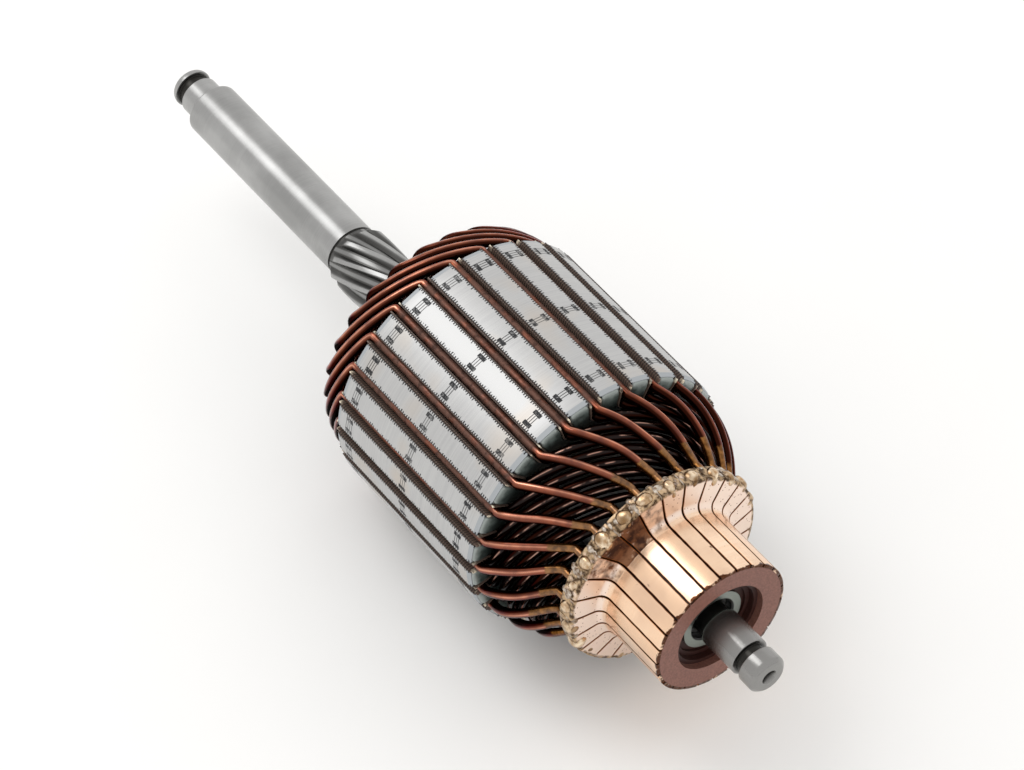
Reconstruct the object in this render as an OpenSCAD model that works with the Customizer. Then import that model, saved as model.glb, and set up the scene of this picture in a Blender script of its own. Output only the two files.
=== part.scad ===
// Starter armature: a splined shaft carries a slotted lamination stack, a winding of
// hairpin coils in two layers, and a moulded commutator with one bar for each slot.
// The shaft lies along X, with the commutator towards +X. The origin is on the shaft
// axis, at the middle of the commutator end journal. Millimetres and degrees.

/* [Shaft] */
// Diameter of the journal at the commutator end
journal_d = 8.5; // [7.5:0.1:9.2]
// Length of that journal
journal_l = 9.6; // [6:0.1:14]
// Diameter at the bottom of the clip groove beside the journal
clip_groove_d = 6.6; // [5.5:0.1:7]
// Width of the clip groove
clip_groove_w = 1.9; // [1:0.1:3]
// Length of the collar outside the clip groove
collar_l = 4.2; // [3:0.1:7]
// Chamfer of the collar's end
collar_chamfer = 0.9; // [0.3:0.1:1.2]
// Diameter of the plain shaft that the drive slides on
drive_d = 12; // [10.5:0.1:13]
// Length of the plain shaft
drive_l = 52.7; // [30:0.1:80]
// Diameter of the pilot at the drive end
pilot_d = 8.8; // [7.5:0.1:10]
// Length of the pilot
pilot_l = 9.3; // [7:0.1:14]
// Diameter at the bottom of the pilot's groove
pilot_groove_d = 7; // [5.5:0.1:7.2]
// Width of the pilot's groove
pilot_groove_w = 2.3; // [1:0.1:3]
// Length of the pilot's head outside its groove
pilot_head_l = 2; // [1.8:0.1:3]
// Radius of the rounding on the pilot's head
pilot_round = 1.7; // [0.4:0.1:1.8]
// Diameter over the spline's teeth
spline_d = 14.4; // [13.6:0.1:14.8]
// Number of spline teeth
spline_teeth = 10; // [6:1:12]
// Length of the spline
spline_l = 22; // [12:0.5:26]
// Axial length in which a spline tooth would make one turn
spline_lead = 110; // [80:1:200]
// Width of a spline tooth's crest
spline_land = 0.9; // [0.6:0.1:1.4]
// Distance from the lamination stack to the near end of the plain shaft
spline_out = 38; // [34:0.5:60]
// Diameter of the seat that the lamination stack is pressed on
core_seat_d = 15; // [15:0.1:18]

/* [Lamination stack] */
// Outer diameter of the stack
core_d = 61.3; // [56:0.1:70]
// Length of the stack
core_l = 45; // [30:0.5:70]
// Number of slots, and of coils and commutator bars
slots = 25; // [21:1:26]
// Angle of the first slot about the shaft
first_slot = 5.3; // [0:0.1:14]
// Axial length of the bevel turned on both edges of the stack
bevel_l = 1; // [0.4:0.1:2]
// Radial depth of that bevel
bevel_h = 0.36; // [0.2:0.02:0.8]
// Thickness of the insulating plate on each end of the stack
plate_t = 0.5; // [0.4:0.1:2]
// Step from the stack's surface down to the end plate's rim
plate_drop = 0.5; // [0.4:0.1:1.2]
// Thickness of the paper liner in each slot
liner_t = 0.28; // [0.12:0.02:0.36]
// Length of liner that stands out past an end plate
liner_out = 0.1; // [0.1:0.1:0.8]
// Step from the stack's surface down to the liner's edges
liner_drop = 0.5; // [0.2:0.1:1]
// Length of the staking dents on the teeth
stake_l = 2; // [1:0.1:3]
// Width of a staking dent
stake_w = 0.8; // [0.4:0.1:1.2]
// Depth of a staking dent
stake_h = 0.15; // [0.05:0.05:0.3]
// Distance from the middle of a slot to the dents on both sides of it
stake_out = 2.46; // [2.2:0.02:2.8]

/* [Winding] */
// Diameter of the winding wire
wire_d = 2; // [1.7:0.05:2.3]
// Depth of the upper wires below the stack's surface
wire_depth = 1; // [0.6:0.1:1.6]
// Gap between the two layers of wire
layer_gap = 0.35; // [0.1:0.05:0.5]
// Number of slots that one coil spans
coil_span = 6; // [5:1:7]
// Gap between neighbouring wires on the way to the commutator
lead_gap = 0.27; // [0.1:0.01:0.4]
// Gap between neighbouring wires of the drive end overhang
nose_gap = 0.3; // [0.1:0.02:0.5]
// Length of the bend where a wire leaves its slot
bend_l = 1.2; // [1:0.1:2.4]
// Length over which a lead runs straight in front of its riser
straight_l = 1.9; // [0.4:0.1:2.5]
// Depth from the upper wires' level to the tip of the overhang
nose_drop = 3.45; // [3:0.05:4.5]

/* [Commutator] */
// Diameter of the brush track
track_d = 31; // [28:0.1:34]
// Diameter over the risers
riser_d = 44.9; // [43:0.1:48]
// Length of the commutator from riser to front face
comm_l = 21.5; // [16:0.5:30]
// Thickness of a riser at its rim
riser_t = 3.6; // [2.6:0.1:4]
// How far the riser's front face leans forward between its rim and its root
riser_lean = 0.7; // [0.4:0.1:2]
// Radius of the fillet between riser and track
riser_fillet = 2; // [1:0.1:2.6]
// Width of the slits between the bars
slit_w = 0.4; // [0.3:0.05:0.9]
// Depth of those slits below the track
slit_depth = 0.9; // [0.5:0.1:1.4]
// Thickness of a bar under the track
bar_t = 2.2; // [1.8:0.1:2.6]
// Thickness of the lip that a bar shows on the front face
lip_t = 0.72; // [0.5:0.02:1]
// Length of that lip
lip_l = 1.5; // [1:0.1:2.5]
// Shift of the bars against the slots, as an angle
bar_shift = -6.27; // [-7.2:0.01:0]
// Metal left over the upper wire at the riser's rim
seat_cover = 0.25; // [0.1:0.05:0.4]
// Depth of the pocket that holds the wire ends in a riser
seat_l = 2.2; // [1.6:0.1:2.4]
// Radius of the weld nugget on a riser
nugget_r = 2.1; // [1.2:0.1:2.2]
// Height of the weld nugget over the rim
nugget_h = 0.8; // [0.3:0.1:0.9]
// Distance from the riser's back to the middle of the weld nugget
nugget_in = 2.4; // [2:0.1:2.8]
// Outer diameter of the steel bush in the moulding
bush_d = 13.8; // [12.4:0.1:14.4]
// Bore of that bush
bush_bore_d = 9.8; // [9.5:0.1:10.8]
// Depth of the bush's face below the front face
bush_depth = 2.5; // [1.5:0.1:4]
// Diameter of the recess at the front face
recess_d = 20.6; // [19:0.1:22]
// Width of each of the two ledges in the recess
ledge_w = 1; // [0.5:0.1:1.2]

/* [Hidden] */
$fn = 96;
// clearance between pieces that are pressed or laid together
seat_clear = 0.02;
// clearance of a wire in its liner and in its riser pocket
wire_clear = 0.03;
// axial room that a wire keeps straight before it bends to the riser and to the overhang
bend_clear = [0.2, 0.3];
// overlap of cutting tools past the faces they cut
cut_over = 1;
// front face of the commutator stands this far over the inner end of the journal
face_lap = 0.8;
// diameter of the neck between journal and bush
neck_d = 7.2;
// small edge break on the shaft's steps
edge_break = 0.4;
// undercut ring beside the spline
undercut_w = 0.6;
undercut_h = 0.3;
// lead-in over which the spline's teeth rise
spline_rise = 2.2;
// width of a spline tooth at its root
spline_root_w = 2.6;
// depth to which a tooth's foot reaches inside the shaft
spline_foot = 0.5;
// angle of one spline crest at the near end of the spline
spline_phase = 157;
// lathe centre holes: countersink and pilot hole
centre_r = 1.7;
centre_hole_r = 0.9;
centre_hole_l = 3.5;
// included angle of the countersink
centre_angle = 60;
// rounding of the end plates' rims
plate_round = 0.4;
// flare of the end plates' slots at the rim: width on each side and depth
plate_flare_w = 0.5;
plate_flare_l = 1.4;
// hub of the moulding behind the risers
hub_out = 1.5;
hub_r = 12;
// moulding's recess: depths of its two ledges and of its floor
ledge_depth = [1.5, 2.9, 3.5];
// depth of a rib's root inside the moulding, and its set-back from the risers' back
rib_root = 1.1;
rib_set = 0.5;
// chamfer at the mouth of the bush's bore
bush_chamfer = 0.3;
// depth inside the bush at which the shaft's seat ends
bush_seat_in = 2;
// facets of a swept wire
wire_sides = 7;
// length of the S-shaped lead over the straight line between its ends
lead_slack = 1.031;
// shares of its reach over which a lead keeps its level at the riser and at the stack
lead_pull = [0.1, 0.6];
// length of the outer half of the overhang over the straight line between its ends
nose_slack = 1.076;
// shares of a coil's turn made by the overhang's outer run and by its tip
outer_share = 0.477;
tip_share = 0.167;
// half the length of wire that makes the tip of the overhang
tip_half = 2.65;
// shape of the overhang's outer and inner curve, as shares of its reach and its drop
outer_pull = [0.53, 0.07, 0.46];
inner_pull = [0.64, 0.58, 0.41];
// stations along the parts of a coil and along a spline tooth
upper_steps = 5;
nose_steps = 7;
lower_steps = 9;
spline_steps = 5;
// angle between the points of a rounding
arc_step = 15;
// places of the rings of staking dents along the stack, as shares of its length
stake_rings = [0.105, 0.505, 0.91];

// wire levels, from the stack's surface down
wire_r = wire_d / 2;
layer_pitch = wire_d + layer_gap;
top_r = core_d / 2 - wire_depth - wire_r;
low_r = top_r - layer_pitch;
slot_pitch = 360 / slots;
slot_w = wire_d + 2 * (wire_clear + liner_t + seat_clear);
slot_floor_r = low_r - slot_w / 2;
riser_r = riser_d / 2;
seat_top_r = riser_r - seat_cover - wire_r;
seat_low_r = seat_top_r - layer_pitch;

// turn per millimetre that keeps wires a given distance apart at a given radius
function turn_rate(apart, r) = sqrt(pow(slot_pitch * PI / 180 / apart, 2) - 1 / (r * r)) * 180 / PI;

// axial reach of the leads, long enough for the lower wires to stay apart
low_turn = coil_span * slot_pitch - bar_shift;
lead_len = low_turn / turn_rate(wire_d + lead_gap, seat_low_r + wire_d / 2) + bend_l;
lead_reach = sqrt(pow(lead_len / lead_slack, 2) - pow(top_r - seat_top_r, 2));

// axial reach of the overhang, long enough for its outer run to stay apart
coil_turn = coil_span * slot_pitch;
outer_len = outer_share * coil_turn / turn_rate(wire_d + nose_gap, top_r - wire_depth) + bend_l / 2 + tip_half;
nose_reach = sqrt(pow(outer_len / nose_slack, 2) - pow(nose_drop, 2));

// stations along the shaft, from the commutator end to the drive end
collar_x = journal_l / 2 + clip_groove_w;
end_x = collar_x + collar_l;
face_x = face_lap - journal_l / 2;
bush_x = face_x - bush_depth;
riser_x = face_x - comm_l;
hub_x = riser_x - hub_out;
mouth_x = riser_x - straight_l;
lead_x = mouth_x - lead_reach;
liner_x1 = lead_x - bend_clear[0];
plate_x1 = liner_x1 - liner_out;
core_x1 = plate_x1 - plate_t;
core_x0 = core_x1 - core_l;
plate_x0 = core_x0 - plate_t;
liner_x0 = plate_x0 - liner_out;
nose_x0 = liner_x0 - bend_clear[1];
nose_x = nose_x0 - nose_reach;
drive_x1 = core_x0 - spline_out;
drive_x0 = drive_x1 - drive_l;
tip_x = drive_x0 - pilot_l;

function two_digits(k) = str(k < 10 ? "0" : "", k);
function coil_name(k) = str("coil_", two_digits(k));
function bar_name(k) = str("commutator_bar_", two_digits(k));
function slot_angle(k) = first_slot + (k - 1) * slot_pitch;

// turns a shape drawn round Z so that its axis lies along X, with its own X towards Y
module along_shaft() {
    rotate([90, 0, 90]) children();
}

// body turned round the shaft from an outline of [radius, station] points
module turned(outline) {
    along_shaft() rotate_extrude() polygon(outline);
}

function unit(v) = v / norm(v);
function polar(x, r, a) = [x, r * cos(a), r * sin(a)];

// solid through equal rings of points, closed by its first and last ring
module swept(rings) {
    n = len(rings[0]);
    last = len(rings) - 1;
    sides = [for (i = [0 : last - 1], j = [0 : n - 1])
        [i * n + j, (i + 1) * n + j, (i + 1) * n + (j + 1) % n, i * n + (j + 1) % n]];
    caps = [[for (j = [0 : n - 1]) j], [for (j = [0 : n - 1]) last * n + n - 1 - j]];
    polyhedron([for (ring = rings) each ring], concat(sides, caps), convexity = 6);
}

// half outline of the shaft, with a lathe centre in each end
function shaft_outline() = let (
    journal_r = journal_d / 2,
    pilot_r = pilot_d / 2,
    drive_r = drive_d / 2,
    core_seat_r = core_seat_d / 2 - seat_clear,
    comm_seat_r = bush_bore_d / 2 - seat_clear,
    countersink_l = (centre_r - centre_hole_r) / tan(centre_angle / 2),
    head = [for (a = [0 : arc_step : 90])
        [pilot_r - pilot_round + pilot_round * sin(a), tip_x + pilot_round - pilot_round * cos(a)]])
    concat(
    [
        [0, tip_x + centre_hole_l],
        [centre_hole_r, tip_x + centre_hole_l],
        [centre_hole_r, tip_x + countersink_l],
        [centre_r, tip_x]
    ],
    head,
    [
        [pilot_r, tip_x + pilot_head_l],
        [pilot_groove_d / 2, tip_x + pilot_head_l],
        [pilot_groove_d / 2, tip_x + pilot_head_l + pilot_groove_w],
        [pilot_r, tip_x + pilot_head_l + pilot_groove_w],
        [pilot_r, drive_x0],
        [drive_r - edge_break, drive_x0],
        [drive_r, drive_x0 + edge_break],
        [drive_r, drive_x1 - undercut_w],
        [drive_r - undercut_h, drive_x1 - undercut_w],
        [drive_r - undercut_h, drive_x1],
        [drive_r, drive_x1],
        [drive_r, drive_x1 + spline_l],
        [core_seat_r, drive_x1 + spline_l],
        [core_seat_r, hub_x - seat_clear],
        [comm_seat_r, hub_x - seat_clear],
        [comm_seat_r, bush_x - bush_seat_in],
        [neck_d / 2, bush_x - bush_seat_in],
        [neck_d / 2, -journal_l / 2],
        [journal_r - edge_break, -journal_l / 2],
        [journal_r, edge_break - journal_l / 2],
        [journal_r, journal_l / 2],
        [clip_groove_d / 2, journal_l / 2],
        [clip_groove_d / 2, collar_x],
        [journal_r, collar_x],
        [journal_r, end_x - collar_chamfer],
        [journal_r - collar_chamfer, end_x],
        [centre_r, end_x],
        [centre_hole_r, end_x - countersink_l],
        [centre_hole_r, end_x - centre_hole_l],
        [0, end_x - centre_hole_l]
    ]);

// one helical spline tooth, rising from the shaft over its lead-in
module spline_tooth(phase) {
    crest_r = spline_d / 2;
    foot_r = drive_d / 2 - spline_foot;
    rise = spline_rise / spline_l;
    places = concat([0, rise], [for (i = [1 : spline_steps]) rise + (1 - rise) * i / spline_steps]);
    swept([for (u = places) let (
        x = drive_x1 + u * spline_l,
        a = phase - 360 * u * spline_l / spline_lead,
        top_r = u == 0 ? drive_d / 2 - undercut_h / 2 : crest_r,
        foot_a = spline_root_w / 2 / foot_r * 180 / PI,
        crest_a = spline_land / 2 / crest_r * 180 / PI)
        [polar(x, foot_r, a + foot_a), polar(x, foot_r, a - foot_a),
         polar(x, top_r, a - crest_a), polar(x, top_r, a + crest_a)]]);
}

module shaft() {
    color("#c9cbc9") union() {
        turned(shaft_outline());
        for (i = [0 : spline_teeth - 1]) spline_tooth(spline_phase + i * 360 / spline_teeth);
    }
}

// slot section with a round floor, open at the rim, and let out on all sides by grow
module slot_section(grow = 0) {
    r = slot_w / 2 + grow;
    translate([low_r, 0]) circle(r);
    translate([low_r, -r]) square([core_d / 2 - low_r + cut_over, 2 * r]);
}

// disc of stack outline with all its slots and its bore
module slotted_disc(rim_r) {
    difference() {
        circle(rim_r);
        circle(core_seat_d / 2);
        for (k = [1 : slots]) rotate(slot_angle(k)) children();
    }
}

// one ring of staking dents, two on each tooth
module stake_ring(x) {
    along_shaft() translate([0, 0, x - stake_l / 2]) linear_extrude(stake_l)
        for (k = [1 : slots], side = [-1, 1])
            rotate(slot_angle(k) + side * asin(2 * stake_out / core_d))
                translate([core_d / 2 - stake_h, -stake_w / 2]) square([stake_h + cut_over, stake_w]);
}

module lamination_stack() {
    core_r = core_d / 2;
    color("#b9bcbd") difference() {
        intersection() {
            along_shaft() translate([0, 0, core_x0]) linear_extrude(core_l)
                slotted_disc(core_r + cut_over) slot_section();
            turned([
                [0, core_x0], [core_r - bevel_h, core_x0], [core_r, core_x0 + bevel_l],
                [core_r, core_x1 - bevel_l], [core_r - bevel_h, core_x1], [0, core_x1]]);
        }
        for (place = stake_rings) stake_ring(core_x1 - place * core_l);
    }
}

// end plate from its inner face at x, with its rounded rim on the side that out points to
module end_plate(x, out) {
    rim_r = core_d / 2 - plate_drop;
    flare_w = slot_w / 2 + plate_flare_w;
    color("#3c4640") intersection() {
        along_shaft() translate([0, 0, out > 0 ? x : x - plate_t]) linear_extrude(plate_t)
            slotted_disc(rim_r + cut_over) {
                slot_section();
                polygon([
                    [rim_r - plate_flare_l, -slot_w / 2], [rim_r, -flare_w], [rim_r + 2 * cut_over, -flare_w],
                    [rim_r + 2 * cut_over, flare_w], [rim_r, flare_w], [rim_r - plate_flare_l, slot_w / 2]]);
            }
        along_shaft() rotate_extrude() {
            translate([0, out > 0 ? x : x - plate_t]) square([rim_r - plate_round, plate_t]);
            translate([0, out > 0 ? x : x - plate_t + plate_round]) square([rim_r, plate_t - plate_round]);
            translate([rim_r - plate_round, x + out * (plate_t - plate_round)]) circle(plate_round);
        }
    }
}

module end_plate_commutator_side() {
    end_plate(core_x1, 1);
}

module end_plate_drive_side() {
    end_plate(core_x0, -1);
}

// one folded paper liner in each slot
module slot_liners() {
    outer_r = slot_w / 2 - seat_clear;
    color("#e6dcc0") along_shaft() translate([0, 0, liner_x0]) linear_extrude(liner_x1 - liner_x0)
        for (k = [1 : slots]) rotate(slot_angle(k)) difference() {
            intersection() {
                slot_section(-seat_clear);
                translate([slot_floor_r, -outer_r]) square([core_d / 2 - liner_drop - slot_floor_r, 2 * outer_r]);
            }
            slot_section(-seat_clear - liner_t);
        }
}

// point and direction on a cubic curve with end points a and d
function curve(a, b, c, d, t) =
    a * pow(1 - t, 3) + 3 * b * t * pow(1 - t, 2) + 3 * c * t * t * (1 - t) + d * pow(t, 3);
function curve_way(a, b, c, d, t) =
    unit((b - a) * pow(1 - t, 2) + 2 * (c - b) * t * (1 - t) + (d - c) * t * t);

// places from 0 to 1, closer together at both ends
function eased(n) = [for (i = [0 : n]) (1 - cos(180 * i / n)) / 2];

// lengths along a chain of points
function run_lengths(p) = [for (i = 0, s = 0; i < len(p);
    s = s + (i + 1 < len(p) ? norm(p[i + 1] - p[i]) : 0), i = i + 1) s];

// ramp that starts at 0 and is rounded over the length of a bend
function ramp(d) = d <= -bend_l / 2 ? 0 : d >= bend_l / 2 ? d : pow(d + bend_l / 2, 2) / (2 * bend_l);

// angle along a lead that turns evenly between a bend at each end
function lead_turn(s, whole) = (ramp(s - bend_l / 2) - ramp(s - whole + bend_l / 2)) / (whole - bend_l);

// level line of a lead, as [station, radius], let in by depth under the upper one
function lead_line(depth, n) = let (
    a = [mouth_x, seat_top_r],
    b = [mouth_x - lead_reach * lead_pull[0], seat_top_r],
    c = [lead_x + lead_reach * lead_pull[1], top_r],
    d = [lead_x, top_r])
    [for (t = eased(n)) let (way = curve_way(a, b, c, d, t))
        curve(a, b, c, d, t) - depth * [way.y, -way.x]];

// level line of the overhang, from the upper wires round the tip to the lower ones
function nose_line(n) = let (
    tip = [nose_x, top_r - nose_drop],
    outer = [[nose_x0, top_r], [nose_x0 - nose_reach * outer_pull[0], top_r - nose_drop * outer_pull[1]],
        [nose_x, tip.y + nose_drop * outer_pull[2]], tip],
    inner = [tip, [nose_x, tip.y - nose_drop * inner_pull[0]],
        [nose_x0 - nose_reach * inner_pull[1], tip.y - nose_drop * inner_pull[2]], [nose_x0, low_r]])
    concat(
        [for (t = eased(n)) curve(outer[0], outer[1], outer[2], outer[3], t)],
        [for (i = [1 : n]) curve(inner[0], inner[1], inner[2], inner[3], eased(n)[i])]);

// angle along the overhang: a steep outer run, a flatter tip and an inner run
function nose_turn(s, middle, whole) = let (
    bends = [bend_l / 2, middle - tip_half, middle + tip_half, whole - bend_l / 2],
    shares = [outer_share, tip_share, 1 - outer_share - tip_share],
    rates = [for (i = [0 : 2]) coil_turn * shares[i] / (bends[i + 1] - bends[i])])
    rates[0] * ramp(s - bends[0]) + (rates[1] - rates[0]) * ramp(s - bends[1])
    + (rates[2] - rates[1]) * ramp(s - bends[2]) - rates[2] * ramp(s - bends[3]);

// stations of one coil as [station, radius, angle from its upper slot], end to end
function coil_stations() = let (
    upper = lead_line(0, upper_steps),
    upper_s = run_lengths(upper),
    nose = nose_line(nose_steps),
    nose_s = run_lengths(nose),
    lower_back = lead_line(layer_pitch, lower_steps),
    lower = [for (i = [len(lower_back) - 1 : -1 : 0]) lower_back[i]],
    lower_s = run_lengths(lower),
    upper_bar = bar_shift - slot_pitch,
    end_in = riser_x + seat_l - seat_clear)
    concat(
        [[end_in, seat_top_r, upper_bar]],
        [for (i = [0 : len(upper) - 1])
            [upper[i].x, upper[i].y, upper_bar * (1 - lead_turn(upper_s[i], upper_s[len(upper) - 1]))]],
        [for (i = [0 : len(nose) - 1])
            [nose[i].x, nose[i].y, nose_turn(nose_s[i], nose_s[nose_steps], nose_s[len(nose) - 1])]],
        [for (i = [0 : len(lower) - 1])
            [lower[i].x, lower[i].y, coil_turn - low_turn * lead_turn(lower_s[i], lower_s[len(lower) - 1])]],
        [[end_in, seat_low_r, bar_shift]]);

// ring of points round each station, square to the wire
function wire_rings(p) = let (
    last = len(p) - 1,
    places = [for (q = p) polar(q[0], q[1], q[2])])
    [for (i = [0 : last]) let (
        before = max(i - 1, 0),
        after = min(i + 1, last),
        ahead = unit(places[after] - places[min(i, last - 1)]),
        behind = unit(places[max(i, 1)] - places[before]),
        way = unit(ahead + behind),
        level = unit([p[after][0] - p[before][0], p[after][1] - p[before][1]]),
        face = polar(level.y, -level.x, p[i][2]),
        across = unit(cross(way, face)),
        out = cross(across, way))
        [for (j = [0 : wire_sides - 1]) let (a = 360 * j / wire_sides)
            places[i] + wire_r * (out * cos(a) + across * sin(a))]];

// hairpin of enamelled wire: upper leg in slot k, lower leg coil_span slots on
module coil(k) {
    color("#7a3526") rotate([slot_angle(k), 0, 0]) swept(wire_rings(coil_stations()));
}

// half outline of a bar with its riser, as [radius, station]
function bar_outline() = let (
    track_r = track_d / 2,
    root_x = riser_x + riser_t + riser_lean,
    arc = [for (a = [180 : arc_step : 270])
        [track_r + riser_fillet + riser_fillet * sin(a), root_x + riser_fillet + riser_fillet * cos(a)]])
    concat(
        [[track_r - bar_t, riser_x], [riser_r, riser_x], [riser_r, riser_x + riser_t]],
        arc,
        [[track_r, face_x], [track_r - lip_t, face_x], [track_r - lip_t, face_x - lip_l],
         [track_r - bar_t, face_x - lip_l]]);

// copper bar k with its wire pocket, its half slits and the weld nugget on its rim
module commutator_bar(k) {
    pocket_r = wire_r + wire_clear;
    color("#d99a6c") along_shaft() rotate(slot_angle(k) + bar_shift) difference() {
        union() {
            rotate(-slot_pitch / 2) rotate_extrude(angle = slot_pitch) polygon(bar_outline());
            translate([riser_r + nugget_h - nugget_r, 0, riser_x + nugget_in]) sphere(nugget_r);
        }
        for (side = [-1, 1]) rotate(side * slot_pitch / 2)
            translate([0, -slit_w / 2, riser_x - cut_over])
                cube([riser_r + 2 * cut_over, slit_w, comm_l + 2 * cut_over]);
        translate([0, 0, riser_x - cut_over]) linear_extrude(seat_l + cut_over) {
            translate([seat_low_r, 0]) circle(pocket_r);
            translate([seat_top_r, 0]) circle(pocket_r);
            translate([seat_low_r, -pocket_r]) square([layer_pitch, 2 * pocket_r]);
        }
    }
}

// half outline of the moulding, with its hub, its front ring and its stepped recess
function moulding_outline() = let (
    under_r = track_d / 2 - bar_t - seat_clear,
    front_r = track_d / 2 - lip_t - seat_clear,
    recess_r = recess_d / 2,
    bore_r = bush_d / 2 + seat_clear)
    [
        [bore_r, hub_x],
        [hub_r, hub_x],
        [hub_r, riser_x],
        [under_r, riser_x],
        [under_r, face_x - lip_l + seat_clear],
        [front_r, face_x - lip_l + seat_clear],
        [front_r, face_x],
        [recess_r, face_x],
        [recess_r, face_x - ledge_depth[0]],
        [recess_r - ledge_w, face_x - ledge_depth[0]],
        [recess_r - ledge_w, face_x - ledge_depth[1]],
        [recess_r - 2 * ledge_w, face_x - ledge_depth[1]],
        [recess_r - 2 * ledge_w, face_x - ledge_depth[2]],
        [bore_r, face_x - ledge_depth[2]]
    ];

// moulded body between bush and bars, with a rib in the foot of each slit
module commutator_moulding() {
    under_r = track_d / 2 - bar_t;
    rib_w = slit_w - 2 * seat_clear;
    color("#6e4f4a") union() {
        turned(moulding_outline());
        along_shaft() for (k = [1 : slots])
            rotate(slot_angle(k) + bar_shift + slot_pitch / 2)
                translate([under_r - rib_root, -rib_w / 2, riser_x + rib_set])
                    cube([rib_root + bar_t - slit_depth, rib_w, comm_l - lip_l / 2 - rib_set]);
    }
}

module commutator_bush() {
    bore_r = bush_bore_d / 2;
    color("#b4bab4") turned([
        [bore_r, hub_x], [bush_d / 2, hub_x], [bush_d / 2, bush_x],
        [bore_r + bush_chamfer, bush_x], [bore_r, bush_x - bush_chamfer]]);
}

shaft();
lamination_stack();
end_plate_commutator_side();
end_plate_drive_side();
slot_liners();
commutator_moulding();
commutator_bush();
for (k = [1 : slots]) {
    coil(k);
    commutator_bar(k);
}
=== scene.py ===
from functools import partial
import bpy
import numpy as np
from mathutils import Matrix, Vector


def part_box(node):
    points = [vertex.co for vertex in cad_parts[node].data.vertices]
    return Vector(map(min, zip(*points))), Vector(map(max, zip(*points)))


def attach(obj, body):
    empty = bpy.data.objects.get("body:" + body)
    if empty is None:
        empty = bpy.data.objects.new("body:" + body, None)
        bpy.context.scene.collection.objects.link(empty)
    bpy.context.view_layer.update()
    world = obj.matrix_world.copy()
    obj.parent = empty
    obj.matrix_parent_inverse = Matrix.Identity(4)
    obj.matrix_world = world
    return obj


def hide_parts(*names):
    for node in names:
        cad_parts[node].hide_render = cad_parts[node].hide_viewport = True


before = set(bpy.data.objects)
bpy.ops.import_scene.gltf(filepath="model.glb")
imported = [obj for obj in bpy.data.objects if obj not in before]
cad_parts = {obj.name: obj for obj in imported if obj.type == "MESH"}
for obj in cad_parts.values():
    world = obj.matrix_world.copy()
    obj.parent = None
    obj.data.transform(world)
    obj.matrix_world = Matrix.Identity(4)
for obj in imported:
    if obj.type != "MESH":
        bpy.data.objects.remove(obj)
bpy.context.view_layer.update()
scene = bpy.context.scene
mm = 0.001                      # all sizes below are millimetres, the meshes are metres
rng = np.random.default_rng(25)

# shared sizes of the armature, the same as the solids have
armature = {
    "slots": 25,
    "firstSlot": 5.3,           # angle of slot 1 about the shaft
    "barShift": -6.27,          # angle of a bar against its slot
    "coreR": 30.65,
    "topR": 28.65,              # level of the upper wires in the slots
    "lowR": 26.3,
    "slotW": 2.66,
    "boreN": 8,                 # sides of a bore for each slot
    "riserX": -25.5,
    "faceX": -4.0,
}
pitch = 360 / armature["slots"]
slotAngles = armature["firstSlot"] + pitch * np.arange(armature["slots"])
barAngles = slotAngles + armature["barShift"]
coreX0, coreX1 = (float(corner[0]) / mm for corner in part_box("lamination_stack"))


# point at station x, radius r and angle a in degrees about the shaft
def polar(x, r, a):
    a = np.radians(a)
    return np.stack(np.broadcast_arrays(x, r * np.cos(a), r * np.sin(a)), -1)


def unit(v):
    return v / np.linalg.norm(v, axis=-1, keepdims=True)


# smooth random swell about 0: the mean of sine waves of one length in random directions
def swell(points, length, waves=9):
    way = unit(rng.normal(size=(waves, points.shape[-1]))) * 2 * np.pi / length
    return np.sin(points @ way.T + rng.uniform(0, 2 * np.pi, waves)).mean(-1) * 2


# quads between neighbouring rows and columns of a grid, whose columns may close round
def gridFaces(rows, cols, closed=True):
    i = np.arange(rows - 1)[:, None]
    j = np.arange(cols if closed else cols - 1)[None, :]
    n = (j + 1) % cols
    corners = i * cols + j, i * cols + n, (i + 1) * cols + n, (i + 1) * cols + j
    return np.stack(np.broadcast_arrays(*corners), -1).reshape(-1, 4)


# faces of a tube of rows with a flat face over each end
def tubeFaces(rows, cols):
    last = (rows - 1) * cols
    return gridFaces(rows, cols).tolist() + [list(range(cols))[::-1], list(range(last, last + cols))]


# corner points of an outline rounded by arcs: each row is x, r and the corner's radius
def rounded(outline, steps=4):
    p = np.array(outline, float)
    done = [p[0, :2]]
    t = np.linspace(0, 1, steps + 1)[:, None]
    for before, here, after in zip(p[:-2], p[1:-1], p[2:]):
        corner, cut = here[:2], here[2]
        a, b = before[:2] - corner, after[:2] - corner
        la, lb = np.linalg.norm(a), np.linalg.norm(b)
        cut = min(cut, la * 0.45, lb * 0.45)
        # quadratic arc from the near side of the corner to its far side
        near, far = corner + a / la * cut, corner + b / lb * cut
        done.extend(near * (1 - t) ** 2 + 2 * corner * t * (1 - t) + far * t ** 2 if cut else [corner])
    return np.array(done + [p[-1, :2]])


def makePiece(name, points, faces, finish, nodes=(), sharpOver=None, marks=None):
    mesh = bpy.data.meshes.new(name)
    mesh.from_pydata((np.asarray(points).reshape(-1, 3) * mm).tolist(), [], [list(f) for f in faces])
    mesh.polygons.foreach_set("use_smooth", np.ones(len(mesh.polygons), bool))
    if sharpOver:
        mesh.set_sharp_from_angle(angle=np.radians(sharpOver))
    for key, values in (marks or {}).items():
        layer = mesh.attributes.new(key, "FLOAT", "POINT")
        layer.data.foreach_set("value", np.ravel(values).astype(np.float32))
    mesh.update()
    mesh.materials.append(finish)
    piece = bpy.data.objects.new(name, mesh)
    scene.collection.objects.link(piece)
    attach(piece, "root")
    if nodes:
        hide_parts(*nodes)


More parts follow.
